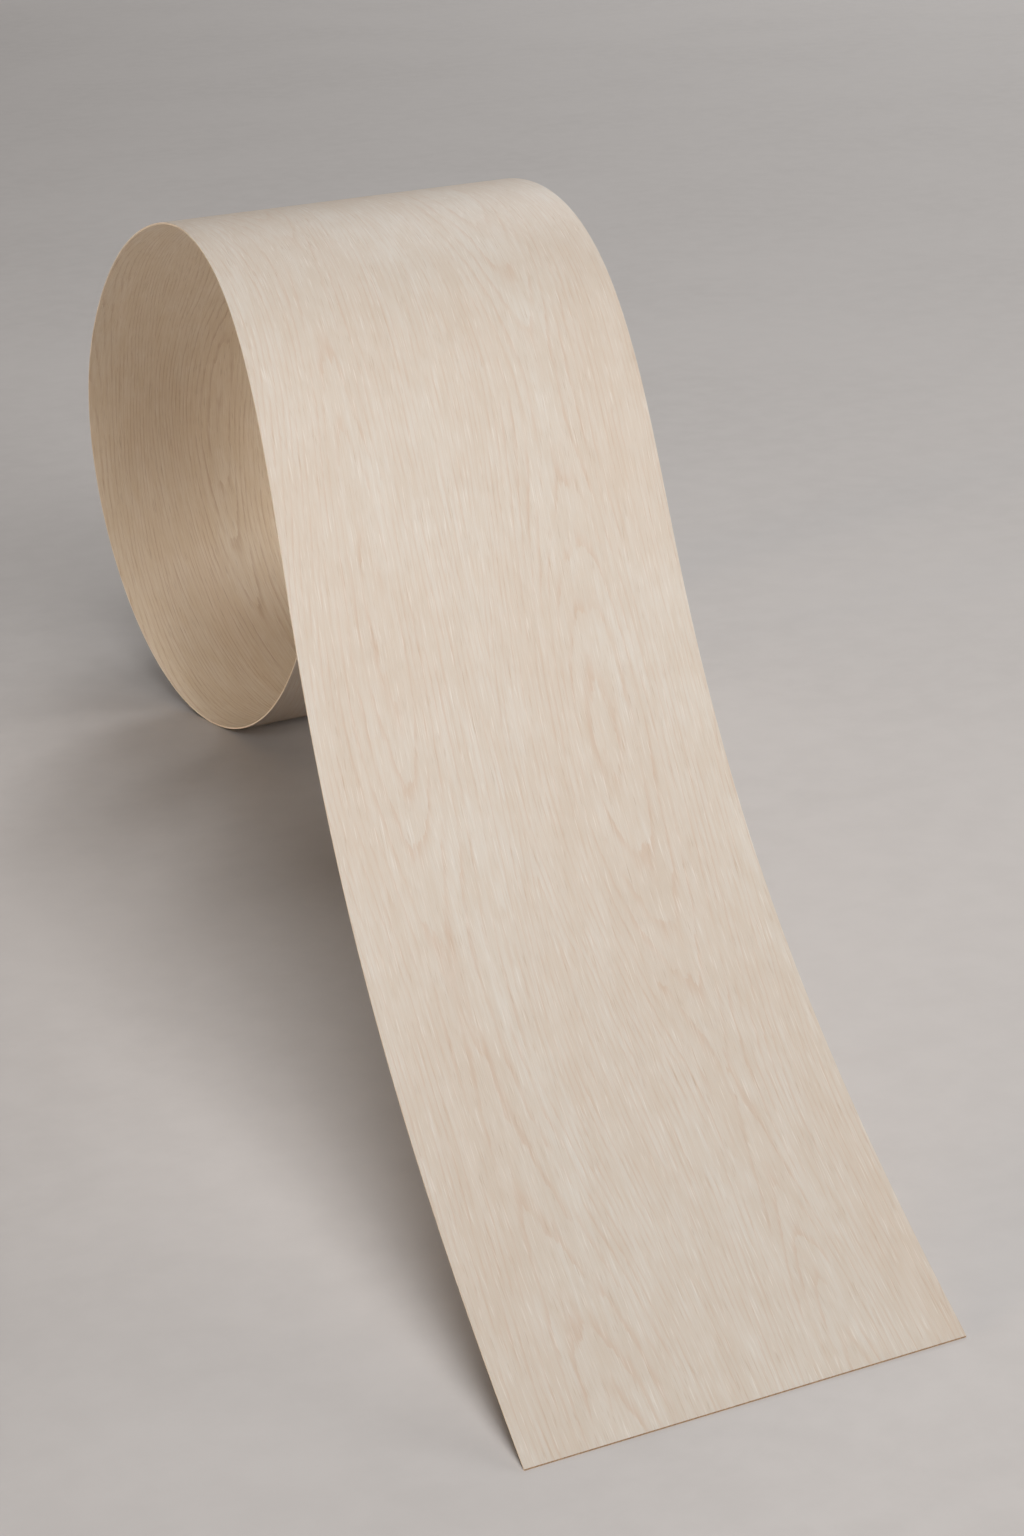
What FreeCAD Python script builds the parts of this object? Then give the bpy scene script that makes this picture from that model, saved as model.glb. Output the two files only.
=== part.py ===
import FreeCAD, Part
import math
import os

# Wood veneer sheet: one long narrow strip of thin sliced wood, lying loose on a floor.
# One end rests on the floor, the strip rises from it like a tongue, rolls over a crown,
# drops down the back and curls under, so that it stands on its end edge and on the curl.
# Axes: X runs along the bend lines, Y from the resting end to the curl, Z up.

# The sheet as it is cut, in millimetres
width = 130.0
thickness = 0.6

# Lie of the bend lines: this far off square to the long edges, in degrees
bend_skew = 8.65

# Stretches between the bend stations, measured up the sheet from the resting end
rise_length = 183.0
upper_rise_length = 94.0
shoulder_length = 118.0
crown_length = 123.0
back_length = 152.0
heel_length = 189.0
foot_length = 121.0
end_length = 72.0

# Bend radius at each station: positive where the sheet bends up, negative where it bends over
tip_radius = 1070.0
rise_radius = 385.0
upper_rise_radius = 510.0
shoulder_radius = -110.0
crown_radius = -465.0
back_radius = -400.0
heel_radius = -64.5
foot_radius = -76.4
end_radius = -502.0

# Points of the bent line on each stretch, and the fine steps between two of them
points_per_stretch = 10
fine_steps = 20


# The bend along the sheet, as stretch lengths and as turn per millimetre at each station

lengths = [rise_length, upper_rise_length, shoulder_length, crown_length]
lengths += [back_length, heel_length, foot_length, end_length]
radii = [tip_radius, rise_radius, upper_rise_radius, shoulder_radius, crown_radius]
radii += [back_radius, heel_radius, foot_radius, end_radius]
turns = [1.0 / radius for radius in radii]


# Middle line of the bent sheet, seen along the bend lines.
# The turn changes evenly along each stretch, so the slope follows a square law of the
# distance, and the place is summed up from the slope in fine steps.

def slope_at(stretch, start_slope, along):
    gain = (turns[stretch + 1] - turns[stretch]) / lengths[stretch]
    return start_slope + turns[stretch] * along + gain * along * along / 2.0


def bent_line():
    points = [(0.0, 0.0, 0.0, 0.0)]
    y = 0.0
    z = 0.0
    start_slope = 0.0
    start = 0.0
    for stretch, length in enumerate(lengths):
        small = length / (points_per_stretch * fine_steps)
        for step in range(1, points_per_stretch * fine_steps + 1):
            heading = slope_at(stretch, start_slope, (step - 0.5) * small)
            y += math.cos(heading) * small
            z += math.sin(heading) * small
            if step % fine_steps == 0:
                slope = slope_at(stretch, start_slope, step * small)
                points.append((start + step * small, y, z, slope))
        start_slope = slope_at(stretch, start_slope, length)
        start += length
    return points


line = bent_line()
bent_length = line[-1][0]


# Upper and under side of the sheet, half a thickness to either side of the middle line

def side_points(offset):
    pairs = []
    for distance, y, z, slope in line:
        pairs.append((y - offset * math.sin(slope), z + offset * math.cos(slope)))
    return pairs


upper = side_points(thickness / 2.0)
under = side_points(-thickness / 2.0)


# Laying down: the sheet is turned about its resting edge until the curl touches the floor

tip_y, tip_z = under[0]
curl_points = upper[len(upper) // 2:]
floor_angles = [math.atan2(z - tip_z, y - tip_y) for y, z in curl_points]
lay_angle = -min(floor_angles)


def laid_down(pairs):
    turned = []
    for y, z in pairs:
        away = y - tip_y
        above = z - tip_z
        new_y = away * math.cos(lay_angle) - above * math.sin(lay_angle)
        new_z = away * math.sin(lay_angle) + above * math.cos(lay_angle)
        turned.append((new_y, new_z))
    return turned


upper = laid_down(upper)
under = laid_down(under)


# Long edges: they wander sideways along the bend lines as the sheet runs up and over

skew = math.radians(bend_skew)
width_along_bends = width / math.cos(skew)
parameters = [entry[0] / bent_length for entry in line]


def edge_curve(pairs, start_x):
    places = []
    for entry, pair in zip(line, pairs):
        sideways = start_x + entry[0] * math.tan(skew)
        places.append(FreeCAD.Vector(sideways, pair[0], pair[1]))
    curve = Part.BSplineCurve()
    curve.interpolate(Points=places, Parameters=parameters)
    return curve.toShape()


upper_left = edge_curve(upper, 0.0)
under_left = edge_curve(under, 0.0)
upper_right = edge_curve(upper, width_along_bends)
under_right = edge_curve(under, width_along_bends)


# The two end cuts are flat and follow a bend line

def end_cut(end):
    corners = [edge.Vertexes[end].Point for edge in (upper_left, upper_right)]
    corners += [edge.Vertexes[end].Point for edge in (under_right, under_left)]
    return Part.Face(Part.makePolygon(corners + corners[:1]))


# The sheet: two broad faces, two long cut edges and two end cuts, closed to one solid.
# Each long face joins two edge lines that both run from the resting end.

same_way = 1
faces = [
    Part.makeRuledSurface(upper_left, upper_right, same_way),
    Part.makeRuledSurface(under_left, under_right, same_way),
    Part.makeRuledSurface(under_left, upper_left, same_way),
    Part.makeRuledSurface(under_right, upper_right, same_way),
    end_cut(0),
    end_cut(1),
]
shell = Part.makeShell(faces)
shell.sewShape()
sheet = Part.makeSolid(shell)
if sheet.Volume < 0:
    sheet.reverse()


# Placing: the middle of the lying sheet over the origin, the floor at zero height

box = sheet.optimalBoundingBox()
middle_x = (box.XMin + box.XMax) / 2.0
middle_y = (box.YMin + box.YMax) / 2.0
sheet.translate(FreeCAD.Vector(-middle_x, -middle_y, -box.ZMin))

box = sheet.optimalBoundingBox()
flat_area = bent_length * width_along_bends
broad_areas = sorted(face.Area for face in sheet.Faces)[-2:]
print("slope at the resting end, degrees", round(math.degrees(lay_angle), 2))
print("length of the long edges", round(bent_length / math.cos(skew), 1))
print("box", round(box.XLength, 2), round(box.YLength, 2), round(box.ZLength, 2))
print("broad faces", [round(area) for area in broad_areas], "of the flat sheet", round(flat_area))
print("valid", sheet.isValid(), sheet.ShapeType, "with", len(sheet.Faces), "faces")

os.makedirs("parts", exist_ok=True)
sheet.exportStep("parts/veneer_sheet.step")
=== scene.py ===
# %% [markdown]
# # Wood veneer sheet
# The object is one long strip of pale sliced wood, about a metre long and only 0.6 mm
# thick. It lies loose on a plain floor: one end rests on it, the strip rises like a
# tongue, rolls over a crown, drops down the back and curls under.
# The lesson builds it in four steps: the bent sheet as a fine mesh, the wood of its
# faces and cut edges, the floor and soft studio light, and the camera.

# %% Frame
import math

import bpy
import numpy as np
from mathutils import Matrix, Vector


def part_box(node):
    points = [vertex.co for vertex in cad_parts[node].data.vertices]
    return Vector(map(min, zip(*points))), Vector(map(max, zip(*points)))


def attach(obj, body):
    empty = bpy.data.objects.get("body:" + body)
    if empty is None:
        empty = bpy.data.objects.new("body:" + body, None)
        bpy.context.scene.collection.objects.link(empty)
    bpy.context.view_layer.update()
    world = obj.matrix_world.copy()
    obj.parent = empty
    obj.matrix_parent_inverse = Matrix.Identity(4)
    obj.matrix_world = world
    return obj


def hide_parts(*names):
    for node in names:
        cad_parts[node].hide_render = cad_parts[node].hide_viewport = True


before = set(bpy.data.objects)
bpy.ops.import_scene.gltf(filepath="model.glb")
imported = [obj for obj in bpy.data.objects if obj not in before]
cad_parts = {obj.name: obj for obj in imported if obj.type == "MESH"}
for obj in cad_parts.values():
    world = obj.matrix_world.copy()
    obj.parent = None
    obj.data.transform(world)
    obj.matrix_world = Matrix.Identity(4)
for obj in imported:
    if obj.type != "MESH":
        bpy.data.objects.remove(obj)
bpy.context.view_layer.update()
sheet_low, sheet_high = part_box("veneer_sheet")
print("packed sheet from", [round(c, 4) for c in sheet_low])
print("to", [round(c, 4) for c in sheet_high])

# %% [markdown]
# ## The bent line
# Thin veneer can't stretch, so it bends only one way: seen along the bend lines it is a
# single curve of even thickness. The curve could be drawn by eye, but a sheet looks
# right only when its bend changes evenly, so the bend radius is given at a few stations
# and the turn between them grows in proportion to the distance. Summing the turn gives
# the slope, and summing the slope gives the place.

# %% Bent line
MM = 0.001
WIDTH = 130.0 * MM
THICKNESS = 0.6 * MM
SKEW = math.radians(8.65)
STRETCHES = np.array([183.0, 94.0, 118.0, 123.0, 152.0, 189.0, 121.0, 72.0]) * MM
RADII = np.array([1070.0, 385.0, 510.0, -110.0, -465.0, -400.0, -64.5, -76.4, -502.0]) * MM
LINE_POINTS = 6001

stations = np.concatenate([[0.0], np.cumsum(STRETCHES)])
bent_length = stations[-1]
distance = np.linspace(0.0, bent_length, LINE_POINTS)
turn = np.interp(distance, stations, 1.0 / RADII)
step = distance[1] - distance[0]


def running_sum(values):
    middles = (values[1:] + values[:-1]) / 2.0
    return np.concatenate([[0.0], np.cumsum(middles * step)])


slope = running_sum(turn)
line_y = running_sum(np.cos(slope))
line_z = running_sum(np.sin(slope))
print("length of the long edges", round(bent_length / math.cos(SKEW), 4), "m")

# %% [markdown]
# The sheet is then laid down. It stands on two lines: the lower corner of its resting
# end, and the lowest line of the curl. Turning the curve about the first until the
# second touches the floor puts both at height zero.

# %% Laying down
half = THICKNESS / 2.0
pivot = np.array([0.0, -half])
outer = np.stack([line_y - half * np.sin(slope), line_z + half * np.cos(slope)], axis=1)
to_curl = outer[len(outer) // 2:] - pivot
lay_angle = -np.arctan2(to_curl[:, 1], to_curl[:, 0]).min()
slope = slope + lay_angle
cos_lay, sin_lay = math.cos(lay_angle), math.sin(lay_angle)
from_pivot = np.stack([line_y, line_z], axis=1) - pivot
line_y = from_pivot[:, 0] * cos_lay - from_pivot[:, 1] * sin_lay
line_z = from_pivot[:, 0] * sin_lay + from_pivot[:, 1] * cos_lay
print("rise at the resting end", round(math.degrees(lay_angle), 2), "degrees")

# %% [markdown]
# ## The sheet as a mesh
# The mesh is a thin closed slab. It starts as two grids of corners, half a thickness to
# either side of the bent line. Each row of corners lies along a bend line, and the rows
# wander sideways because the bend lines are a little off square to the long edges.
# A flat plane with a curve modifier could be bent too, but then the thickness and the
# lengths along the sheet would be less exact.

# %% Grid of corners
ALONG = 620
ACROSS = 36
width_along_bends = WIDTH / math.cos(SKEW)
rows = np.linspace(0.0, bent_length, ALONG + 1)
columns = np.linspace(0.0, 1.0, ACROSS + 1)
row_y = np.interp(rows, distance, line_y)
row_z = np.interp(rows, distance, line_z)
row_slope = np.interp(rows, distance, slope)


def face_grid(offset):
    x = rows[:, None] * math.tan(SKEW) + columns[None, :] * width_along_bends
    y = np.repeat((row_y - offset * np.sin(row_slope))[:, None], ACROSS + 1, axis=1)
    z = np.repeat((row_z + offset * np.cos(row_slope))[:, None], ACROSS + 1, axis=1)
    return np.stack([x, y, z], axis=2).reshape(-1, 3)


loose = np.concatenate([face_grid(half), face_grid(-half)])
middle = (loose.min(axis=0) + loose.max(axis=0)) / 2.0
corners = loose - (middle[0], middle[1], loose[:, 2].min())
print("corners", len(corners), "in a box of", np.ptp(corners, axis=0).round(4), "m")

# %% [markdown]
# Every corner also keeps its place on the flat sheet before bending, in metres along and
# across the grain. The wood is drawn in these flat coordinates, so the grain follows the
# sheet over the crown and into the curl, as the fibres of a real sheet do.

# %% Places on the flat sheet
sideways = loose[:, 0]
bent = np.tile(np.repeat(rows, ACROSS + 1), 2)
flat_along = sideways * math.sin(SKEW) + bent * math.cos(SKEW)
flat_across = sideways * math.cos(SKEW) - bent * math.sin(SKEW)
print("flat sheet", round(np.ptp(flat_along), 4), "by", round(np.ptp(flat_across), 4), "m")

# %% [markdown]
# Fine quads join the corners to an upper and an under face, two long cut edges and two
# end cuts. Each kind of surface gets its own material place: sanded face, knife cut and end
# grain look different on the real sheet, the cut edges also carry some painted highlight and
# painted shade, and the under face is painted paler for the light caught inside the curl.

# %% Faces
FACE_WOOD, LONG_EDGE, END_GRAIN, UNDER_WOOD = range(4)
wide = ACROSS + 1
per_face = (ALONG + 1) * wide
quads = []
kinds = []
for i in range(ALONG):
    for j in range(ACROSS):
        a = i * wide + j
        b = per_face + a
        quads.append((a, a + 1, a + wide + 1, a + wide))
        quads.append((b, b + wide, b + wide + 1, b + 1))
        kinds += [FACE_WOOD, UNDER_WOOD]
    left = i * wide
    right = left + ACROSS
    quads.append((left, left + wide, per_face + left + wide, per_face + left))
    quads.append((right, per_face + right, per_face + right + wide, right + wide))
    kinds += [LONG_EDGE, LONG_EDGE]
for j in range(ACROSS):
    last = ALONG * wide + j
    quads.append((j, per_face + j, per_face + j + 1, j + 1))
    quads.append((last, last + 1, per_face + last + 1, per_face + last))
    kinds += [END_GRAIN, END_GRAIN]
print("quads", len(quads))

# %% [markdown]
# The quads become one mesh, and the places on the flat sheet become its map. Blender
# keeps a map at the corner of each quad, so each place is looked up through its corner.

# %% Mesh and map
mesh = bpy.data.meshes.new("veneer_sheet_mesh")
mesh.from_pydata([tuple(c) for c in corners], [], quads)
mesh.polygons.foreach_set("material_index", kinds)
mesh.polygons.foreach_set("use_smooth", [True] * len(quads))
flat = mesh.uv_layers.new(name="flat_sheet")
loop_corner = np.zeros(len(mesh.loops), dtype=np.int32)
mesh.loops.foreach_get("vertex_index", loop_corner)
places = np.stack([flat_along[loop_corner], flat_across[loop_corner]], axis=1)
flat.data.foreach_set("uv", places.astype(np.float32).ravel())
print("mapped corners", len(places))

# %% [markdown]
# The faces are shaded smooth, so that the bend shows no steps, but a knife leaves a
# crisp arris. The edges on the rim of either face are marked sharp, which keeps the
# shading of a face from running round onto the thin cut.

# %% Crisp rims
edge_ends = np.zeros(len(mesh.edges) * 2, dtype=np.int32)
mesh.edges.foreach_get("vertices", edge_ends)
in_face = edge_ends.reshape(-1, 2) % per_face
row_of = in_face // wide
column_of = in_face % wide
on_rim = ((column_of == 0).all(axis=1) | (column_of == ACROSS).all(axis=1)
          | (row_of == 0).all(axis=1) | (row_of == ALONG).all(axis=1))
sharp = mesh.attributes.new("sharp_edge", "BOOLEAN", "EDGE")
sharp.data.foreach_set("value", on_rim)
mesh.update()
print("sharp edges", int(on_rim.sum()), "of", len(mesh.edges))

# %% [markdown]
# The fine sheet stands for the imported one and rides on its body.

# %% The piece
veneer = bpy.data.objects.new("veneer", mesh)
bpy.context.collection.objects.link(veneer)
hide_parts("veneer_sheet")
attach(veneer, "root")
print("piece", veneer.name, "with", len(mesh.polygons), "faces")

# %% [markdown]
# ## Colours and nodes
# Colours are written as they would be read off a screen and turned into light values by
# one function. A second small function adds a shader node with its settings and its
# inputs. An input is a value, an output of another node, or a node, whose first output
# is then meant.

# %% Colour and node helpers


def colour(code):
    parts = [int(code[i:i + 2], 16) / 255.0 for i in (1, 3, 5)]
    light = [p / 12.92 if p <= 0.04045 else ((p + 0.055) / 1.055) ** 2.4 for p in parts]
    return (*light, 1.0)


def new_material(name):
    material = bpy.data.materials.new(name)
    material.use_nodes = True
    tree = material.node_tree
    tree.nodes.clear()
    return material, tree


def add(tree, kind, inputs=None, **settings):
    node = tree.nodes.new("ShaderNode" + kind)
    for name, value in settings.items():
        setattr(node, name, value)
    for key, value in (inputs or {}).items():
        if isinstance(value, bpy.types.Node):
            value = value.outputs[0]
        if isinstance(value, bpy.types.NodeSocket):
            tree.links.new(value, node.inputs[key])
        else:
            node.inputs[key].default_value = value
    return node


print("mid grey as light", round(colour("#808080")[0], 4))

# %% [markdown]
# ## Patterns in wood
# Nearly all that shows in wood is noise drawn out along the grain: clouds, streaks,
# fibres and pores differ only in how long and how broad their marks are. So one helper
# draws such marks from their real length and breadth in millimetres. It can also spread
# the part of the noise between two levels over the whole range, which parts the marks
# from their ground.

# %% Helpers for marks along the grain


def flat_millimetres(tree):
    place = add(tree, "UVMap", uv_map="flat_sheet")
    parts = add(tree, "SeparateXYZ", {0: place})
    along = add(tree, "Math", {0: parts.outputs[0], 1: 1.0 / MM}, operation="MULTIPLY")
    across = add(tree, "Math", {0: parts.outputs[1], 1: 1.0 / MM}, operation="MULTIPLY")
    return along, across


def marks(tree, flat_place, length, breadth, seed,
          detail=2.0, rough=0.5, levels=None, lowest=0.0):
    along, across = flat_place
    u = add(tree, "Math", {0: along, 1: length}, operation="DIVIDE")
    v = add(tree, "Math", {0: across, 1: breadth}, operation="DIVIDE")
    place = add(tree, "CombineXYZ", {0: u, 1: v, 2: seed})
    noise = add(tree, "TexNoise",
                {"Vector": place, "Scale": 1.0, "Detail": detail, "Roughness": rough})
    if levels is None:
        return noise
    return add(tree, "MapRange",
               {"Value": noise, "From Min": levels[0], "From Max": levels[1], "To Min": lowest},
               interpolation_type="SMOOTHSTEP")


print("wood is drawn in millimetres of the flat sheet")

# %% [markdown]
# ## Growth rings
# The strip is sliced flat from a log, so the knife meets the growth rings at a low angle.
# Along the sheet they show as tan lines a few millimetres apart, which close to long
# arches in two columns where the rings lie nearly level with the knife. Drawing the
# arches one by one would look drawn; instead a smooth ring height is laid over the flat
# sheet, with two slightly pointed ridges and a slow rise and fall along the grain, and
# every whole step of that height is a ring line. Noise drawn out along the grain makes
# the lines waver.

# %% Helpers for the rings
RIDGE_SPACING = 128.0
STEEP_CENTRE, STEEP_RINGS = 30.0, 13.0
RIDGE_CENTRE, RIDGE_RINGS = 62.0, 2.2
POINT_SOFTNESS = 0.4
RISE_LENGTH, RISE_PEAK, RISE_RINGS = 262.0, 276.0, 1.9
RISE_LEAN = 0.45
WANDER = 22.0


def wave(tree, place, length, peak, height):
    away = add(tree, "Math", {0: place, 1: peak}, operation="SUBTRACT")
    angle = add(tree, "Math", {0: away, 1: 2.0 * math.pi / length}, operation="MULTIPLY")
    swing = add(tree, "Math", {0: angle}, operation="COSINE")
    return add(tree, "Math", {0: swing, 1: height}, operation="MULTIPLY")


def ring_height(tree, along, across):
    flat_place = (along, across)
    drift = marks(tree, flat_place, 260.0, 120.0, 2.4, detail=0.0)
    centred = add(tree, "Math", {0: drift, 1: 0.5}, operation="SUBTRACT")
    wandering = add(tree, "Math", {0: centred, 1: WANDER, 2: across}, operation="MULTIPLY_ADD")

    steep = add(tree, "Math", {0: wave(tree, wandering, RIDGE_SPACING, STEEP_CENTRE, STEEP_RINGS)},
                operation="ABSOLUTE")
    ridge = wave(tree, wandering, RIDGE_SPACING, RIDGE_CENTRE, RIDGE_RINGS)
    softened = add(tree, "Math", {0: ridge, 1: ridge, 2: POINT_SOFTNESS}, operation="MULTIPLY_ADD")
    pointed = add(tree, "Math", {0: softened}, operation="SQRT")
    height = add(tree, "Math", {0: steep, 1: pointed}, operation="SUBTRACT")

    leaning = add(tree, "Math", {0: across, 1: RISE_LEAN, 2: along}, operation="MULTIPLY_ADD")
    rise = wave(tree, leaning, RISE_LENGTH, RISE_PEAK, RISE_RINGS)
    height = add(tree, "Math", {0: height, 1: rise}, operation="ADD")

    swell = marks(tree, flat_place, 180.0, 30.0, 3.7, detail=1.0, rough=0.4)
    waver = marks(tree, flat_place, 34.0, 5.0, 8.1, rough=0.55)
    ragged = marks(tree, flat_place, 6.0, 0.7, 5.2, rough=0.6)
    for noise, rings in ((swell, 7.0), (waver, 0.8), (ragged, 0.3)):
        height = add(tree, "Math", {0: noise, 1: rings, 2: height}, operation="MULTIPLY_ADD")
    return height


print("two ridges", RIDGE_SPACING / 2.0, "mm apart across the grain")

# %% [markdown]
# ## Sliced wood
# Over the ring lines lie clouds and streaks of deeper wood, and fibres that run on for
# centimetres. Short dark dashes are pores that the knife has opened, and short light
# flecks lie between them. Real fibres and pores are finer than the picture can show, so
# they are drawn about a third of a millimetre broad. Raw wood is matt: its roughness is
# about a half and its IOR that of most dry organic stuff, 1.5. The fibre relief is a few
# hundredths of a millimetre, just enough to break up the sheen on the crown.
# A sheet this thin also lets a little warm light through, so a share of the surface is
# translucent. Subsurface scattering would be the other way, but it is slower and meant
# for thicker pieces.

# %% Helper for sliced wood
RELIEF_DEPTH = 0.05 * MM
LAYER_SHARE = {"cloud": 1.0, "mottle": 0.42, "streak": 0.36,
               "fibre": 0.28, "pore": 0.3, "fleck": 0.44}


def sliced_wood(name, tones, ring_share, rings_set_over, glow, sheer):
    material, tree = new_material(name)
    along, across = flat_millimetres(tree)
    flat_place = (along, across)

    set_over = add(tree, "Math", {0: across, 1: rings_set_over}, operation="ADD")
    phase = add(tree, "Math", {0: ring_height(tree, along, set_over)}, operation="FRACT")
    growing = add(tree, "MapRange", {"Value": phase, "From Min": 0.25, "From Max": 0.93},
                  interpolation_type="SMOOTHSTEP")
    ending = add(tree, "MapRange", {"Value": phase, "From Min": 0.995, "From Max": 0.95},
                 interpolation_type="SMOOTHSTEP")
    late_wood = add(tree, "Math", {0: growing, 1: ending}, operation="MULTIPLY")
    thin_line = add(tree, "Math", {0: late_wood, 1: 3.6}, operation="POWER")
    broken = marks(tree, flat_place, 26.0, 2.6, 1.3, 3.0, 0.6, levels=(0.36, 0.62), lowest=0.15)
    ring_line = add(tree, "Math", {0: thin_line, 1: broken}, operation="MULTIPLY")

    clouds = marks(tree, flat_place, 120.0, 34.0, 11.0, levels=(0.3, 0.7))
    mottle = marks(tree, flat_place, 20.0, 6.0, 15.0, 3.0, 0.55, levels=(0.34, 0.66))
    streaks = marks(tree, flat_place, 70.0, 1.3, 21.0, 3.0, 0.6, levels=(0.36, 0.66))
    fibres = marks(tree, flat_place, 18.0, 0.36, 31.0, 3.0, 0.65, levels=(0.38, 0.64))
    dashes = marks(tree, flat_place, 9.0, 0.36, 41.0, 1.0, levels=(0.62, 0.72))
    pore_field = marks(tree, flat_place, 30.0, 5.0, 47.0, levels=(0.36, 0.6), lowest=0.3)
    pores = add(tree, "Math", {0: dashes, 1: pore_field}, operation="MULTIPLY")
    flecks = marks(tree, flat_place, 11.0, 0.4, 53.0, 1.0, levels=(0.6, 0.74))

    wood = colour(tones["ground"])
    for pattern, share, tone in (
            (clouds, LAYER_SHARE["cloud"], tones["cloud"]),
            (mottle, LAYER_SHARE["mottle"], tones["streak"]),
            (streaks, LAYER_SHARE["streak"], tones["streak"]),
            (fibres, LAYER_SHARE["fibre"], tones["fibre"]),
            (ring_line, ring_share, tones["ring"]),
            (pores, LAYER_SHARE["pore"], tones["pore"]),
            (flecks, LAYER_SHARE["fleck"], tones["fleck"])):
        cover = add(tree, "Math", {0: pattern, 1: share}, operation="MULTIPLY")
        wood = add(tree, "Mix", {0: cover, 6: wood, 7: colour(tone)}, data_type="RGBA").outputs[2]

    raised = add(tree, "Math", {0: fibres, 1: 0.35}, operation="MULTIPLY")
    relief = add(tree, "Math", {0: raised, 1: pores}, operation="SUBTRACT")
    bump = add(tree, "Bump", {"Height": relief, "Distance": RELIEF_DEPTH, "Strength": 0.6})
    surface = add(tree, "BsdfPrincipled",
                  {"Base Color": wood, "Roughness": 0.52, "IOR": 1.5, "Normal": bump})
    through = add(tree, "BsdfTranslucent", {"Color": colour(glow)})
    both = add(tree, "MixShader", {0: sheer, 1: surface, 2: through})
    add(tree, "OutputMaterial", {"Surface": both})
    print(name, "has", len(tree.nodes), "nodes")
    return material


# %% [markdown]
# The upper face is the good side. Sanding closes it and takes its colour back to a cool
# pale cream, with the rings in soft tan.

# %% Sanded face
sanded_tones = {"ground": "#D1CFC8", "cloud": "#CEC8BE", "streak": "#C5BBAD", "fibre": "#C1B19D",
                "ring": "#B8957A", "pore": "#A28464", "fleck": "#E7E5DF"}
sanded_face = sliced_wood("sliced_pale_wood", sanded_tones, ring_share=0.3,
                          rings_set_over=0.0, glow="#F0D2AE", sheer=0.25)
mesh.materials.append(sanded_face)

# %% [markdown]
# The long edges are cut with the grain by a guillotine knife: clean, and showing the fibres
# lengthwise. They are painted a little lighter than the face, partly for the fresh cut and
# partly as a painted highlight for the bright line the thin edge catches. The end cuts cross
# the fibres. Open fibre ends soak up light, so they look browner and rougher than the face;
# their dark brown is also partly painted shade, since the cut at the resting end faces down
# into shadow.

# %% Cut edges
CUT_EDGES = (
    # Long edge: fresh-cut pale wood, partly a painted highlight for its bright line.
    ("knife_cut_long_edge_painted_highlight", 14.0, 61.0, "#F4EADD", "#E9DAC6", 0.6),
    # End grain: darker wood, partly painted shade where the cut faces down.
    ("cross_cut_end_grain_painted_shade", 2.0, 71.0, "#A58A6C", "#86694C", 0.75),
)
FIBRE_BUNDLE = 0.5
for name, mark_length, seed, light_tone, deep_tone, roughness in CUT_EDGES:
    material, tree = new_material(name)
    grain = marks(tree, flat_millimetres(tree), mark_length, FIBRE_BUNDLE, seed,
                  rough=0.6, levels=(0.3, 0.7))
    wood = add(tree, "Mix", {0: grain, 6: colour(light_tone), 7: colour(deep_tone)},
               data_type="RGBA")
    surface = add(tree, "BsdfPrincipled",
                  {"Base Color": wood.outputs[2], "Roughness": roughness, "IOR": 1.5})
    add(tree, "OutputMaterial", {"Surface": surface})
    mesh.materials.append(material)
    print(name, "has", len(tree.nodes), "nodes")

# %% [markdown]
# The under face is painted paler and of a warmer cream than the face. That is painted light:
# it stands in for the warm glow of the light caught inside the curl. Its ring figure is set
# over by a few centimetres, because the arches inside the curl don't stand where those of
# the face do. Hardly any light that reaches it passes through.

# %% Under face
# Paler, warmer tones: painted light for the glow inside the curl, not the wood's own colour.
under_face_painted_light_tones = {"ground": "#F3E7D6", "cloud": "#F1E0CA", "streak": "#E5D2B7", "fibre": "#D8BF9A",
             "ring": "#AC8050", "pore": "#967044", "fleck": "#FAF0E0"}
under_face_painted_light = sliced_wood("sliced_wood_under_face_painted_light", under_face_painted_light_tones, ring_share=0.32,
                             rings_set_over=36.0, glow="#F0D2AE", sheer=0.06)
mesh.materials.append(under_face_painted_light)
print("materials on the sheet", [m.name for m in mesh.materials])

# %% [markdown]
# ## Floor
# The sheet lies on a plain grey floor, very smooth and with a hardly visible mottle.
# Farther out than the shadow reaches, the floor passes softly into the plain backdrop,
# as a studio's paper sweep does. Only the camera sees that, so it lights nothing.

# %% Floor
FLOOR_REACH = 6.0
BACKDROP_TONE = "#BDB8B5"
SWEEP_CENTRE = (0.5, 1.0, 0.0)
SWEEP_START, SWEEP_END = 1.6, 2.8
MOTTLE_PER_METRE = 60.0
PATCHES_PER_METRE = 6.0

ends = ((-FLOOR_REACH, -FLOOR_REACH, 0.0), (FLOOR_REACH, -FLOOR_REACH, 0.0),
        (FLOOR_REACH, FLOOR_REACH, 0.0), (-FLOOR_REACH, FLOOR_REACH, 0.0))
floor_mesh = bpy.data.meshes.new("floor_mesh")
floor_mesh.from_pydata(ends, [], [(0, 1, 2, 3)])
floor = bpy.data.objects.new("floor", floor_mesh)
bpy.context.collection.objects.link(floor)

floor_paint, tree = new_material("matt_grey_floor")
position = add(tree, "NewGeometry").outputs["Position"]
grey = colour("#BAB5B2")
for scale, detail, rough, share, tone in ((MOTTLE_PER_METRE, 6.0, 0.6, 1.0, "#BEB9B6"),
                                          (PATCHES_PER_METRE, 3.0, 0.5, 0.5, "#C1BCB9")):
    noise = add(tree, "TexNoise",
                {"Vector": position, "Scale": scale, "Detail": detail, "Roughness": rough})
    blotch = add(tree, "MapRange",
                 {"Value": noise, "From Min": 0.3, "From Max": 0.7, "To Max": share},
                 interpolation_type="SMOOTHSTEP")
    grey = add(tree, "Mix", {0: blotch, 6: grey, 7: colour(tone)}, data_type="RGBA").outputs[2]
paint = add(tree, "BsdfPrincipled", {"Base Color": grey, "Roughness": 0.8, "IOR": 1.45})

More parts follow.
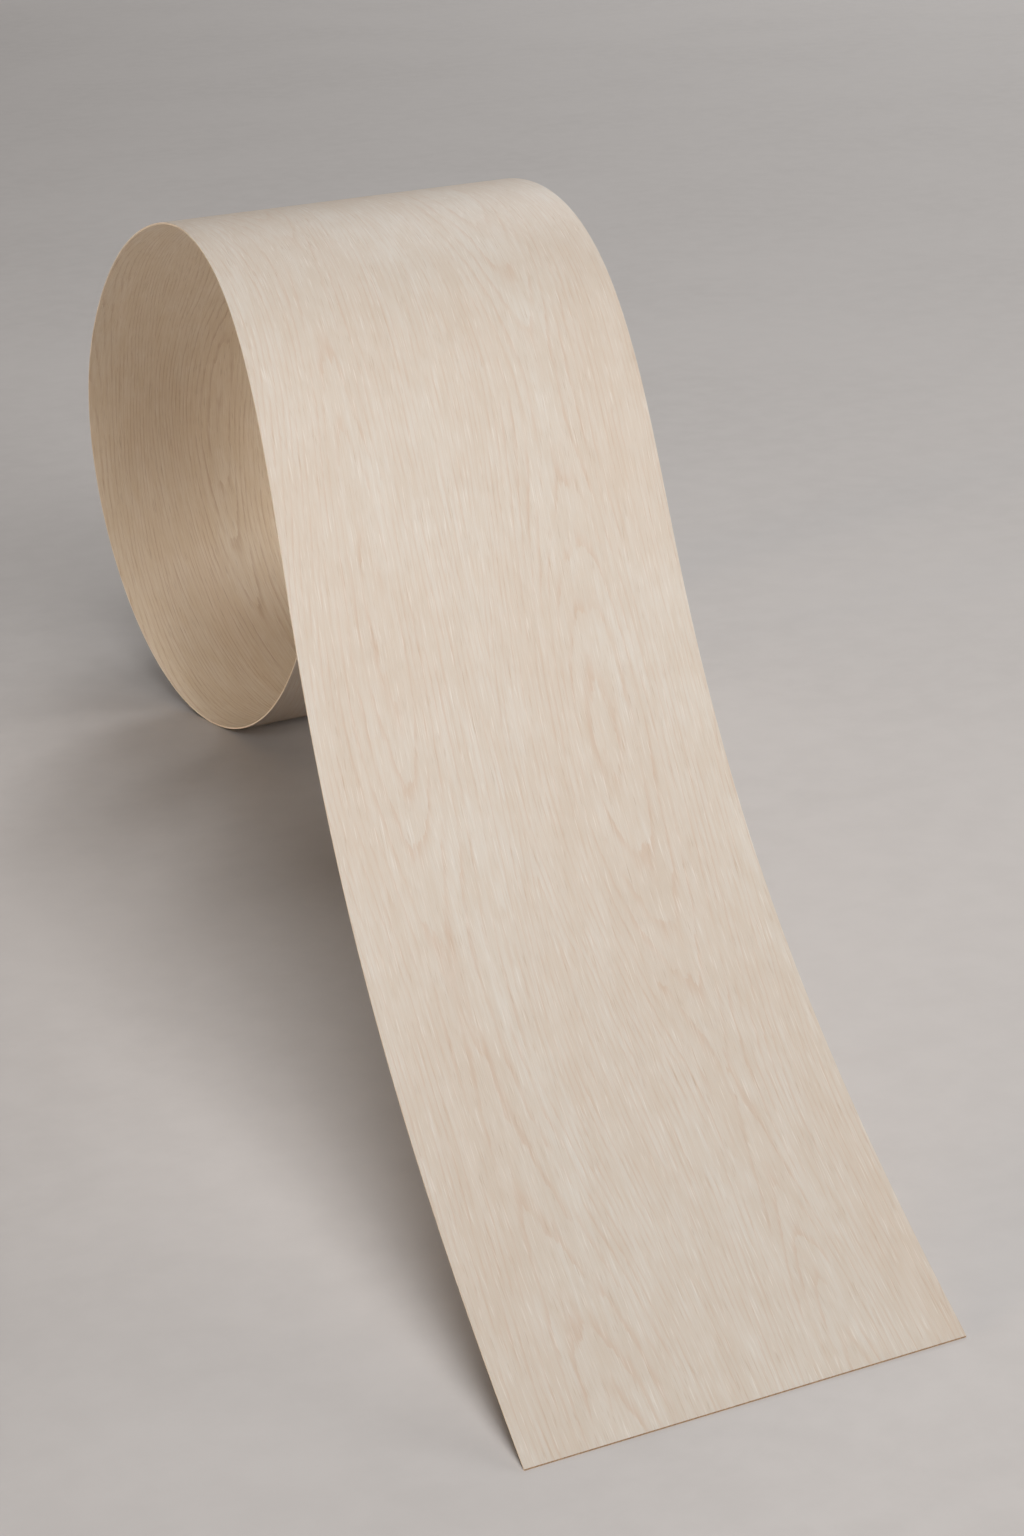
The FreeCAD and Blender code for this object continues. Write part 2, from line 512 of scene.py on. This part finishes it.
away = add(tree, "VectorMath", {0: position, 1: SWEEP_CENTRE}, operation="DISTANCE")
swept = add(tree, "MapRange",
            {"Value": away.outputs["Value"], "From Min": SWEEP_START, "From Max": SWEEP_END},
            interpolation_type="SMOOTHSTEP")
seen = add(tree, "LightPath").outputs["Is Camera Ray"]
seen_sweep = add(tree, "Math", {0: swept, 1: seen}, operation="MULTIPLY")
sweep = add(tree, "Emission", {"Color": colour(BACKDROP_TONE), "Strength": 1.0})
both = add(tree, "MixShader", {0: seen_sweep, 1: paint, 2: sweep})
add(tree, "OutputMaterial", {"Surface": both})
floor_mesh.materials.append(floor_paint)
print("floor", 2.0 * FLOOR_REACH, "m square, plain beyond", SWEEP_END, "m")

# %% [markdown]
# ## Light
# The world shows the backdrop to the camera and gives hardly any light itself. The light
# comes from six soft lamps, all aimed at the middle of the sheet. Two large ones in front
# throw the shadow back under the arch. A small one close above brightens the crown and
# leaves the floor calm. One behind and one at the right lift the far side. A low,
# slightly warm one at the left reaches into the open curl and draws a bright line along
# its cut edge. A single big lamp would be simpler, but then the curl would be dark.

# %% World
sky = bpy.data.worlds.new("soft_studio")
sky.use_nodes = True
tree = sky.node_tree
tree.nodes.clear()
fill = add(tree, "Background", {"Color": colour("#F4F1EC"), "Strength": 0.01})
backdrop = add(tree, "Background", {"Color": colour(BACKDROP_TONE), "Strength": 1.0})
seen = add(tree, "LightPath").outputs["Is Camera Ray"]
either = add(tree, "MixShader", {0: seen, 1: fill, 2: backdrop})
add(tree, "OutputWorld", {"Surface": either})
bpy.context.scene.world = sky
print("backdrop", BACKDROP_TONE)

# %% Lamps
AIM = Vector((0.0, 0.0, 0.08))


def softbox(name, from_top, around, away, across, power, tint):
    tilt = math.radians(from_top)
    turned = math.radians(around)
    lamp = bpy.data.lights.new(name, "AREA")
    lamp.shape = "DISK"
    lamp.size = across
    lamp.energy = power
    lamp.color = colour(tint)[:3]
    holder = bpy.data.objects.new(name, lamp)
    level = Vector((math.cos(turned), math.sin(turned), 0.0))
    out = level * math.sin(tilt) + Vector((0.0, 0.0, math.cos(tilt)))
    holder.location = AIM + out * away
    holder.rotation_mode = "QUATERNION"
    holder.rotation_quaternion = (-out).to_track_quat("-Z", "Y")
    bpy.context.collection.objects.link(holder)
    print(name, power, "W from", [round(c, 2) for c in holder.location])


# Each lamp: degrees down from overhead, degrees around from +X, metres from the aim,
# metres across, watts and tint
LAMPS = (
    ("front_softbox", 66.0, 270.0, 5.6, 2.0, 190.0, "#FFFFFF"),
    ("high_front_softbox", 50.0, 252.0, 5.6, 2.0, 126.0, "#FFFFFF"),
    ("overhead_softbox", 10.0, 262.0, 1.6, 0.8, 7.2, "#FFFFFF"),
    ("back_softbox", 66.0, 52.0, 5.6, 2.2, 86.0, "#FFFFFF"),
    ("right_softbox", 68.0, 4.0, 5.6, 2.2, 56.0, "#FFFFFF"),
    ("left_softbox", 85.0, 188.0, 5.6, 0.9, 112.0, "#FFE2C2"),
)
for lamp in LAMPS:
    softbox(*lamp)

# %% [markdown]
# ## Camera
# The picture looks down on the resting end from the front left, with a long lens, so
# that the tongue comes towards the viewer and the open side of the curl shows. The
# camera leans a little to one side, which is how the picture was framed.

# %% Camera
PLACE = (-0.44411, -0.96991, 0.44908)
PITCH = math.radians(20.14)
YAW = math.radians(25.13)
ROLL = math.radians(-2.53)
FOCAL_IN_PIXELS = 3285.0
PICTURE_HEIGHT = 1536.0
lens = bpy.data.cameras.new("camera")
lens.sensor_width = 36.0
lens.lens = FOCAL_IN_PIXELS * lens.sensor_width / PICTURE_HEIGHT
camera = bpy.data.objects.new("camera", lens)
camera.location = PLACE
onward = Vector((math.sin(YAW), math.cos(YAW), 0.0))
ahead = onward * math.cos(PITCH) - Vector((0.0, 0.0, math.sin(PITCH)))
level = Vector((math.cos(YAW), -math.sin(YAW), 0.0))
above = level.cross(ahead)
right = level * math.cos(ROLL) + above * math.sin(ROLL)
upward = above * math.cos(ROLL) - level * math.sin(ROLL)
camera.rotation_mode = "QUATERNION"
camera.rotation_quaternion = Matrix((right, upward, -ahead)).transposed().to_quaternion()
bpy.context.collection.objects.link(camera)
bpy.context.scene.camera = camera
bpy.context.scene.view_settings.view_transform = "Standard"
print("lens", round(lens.lens, 2), "mm")
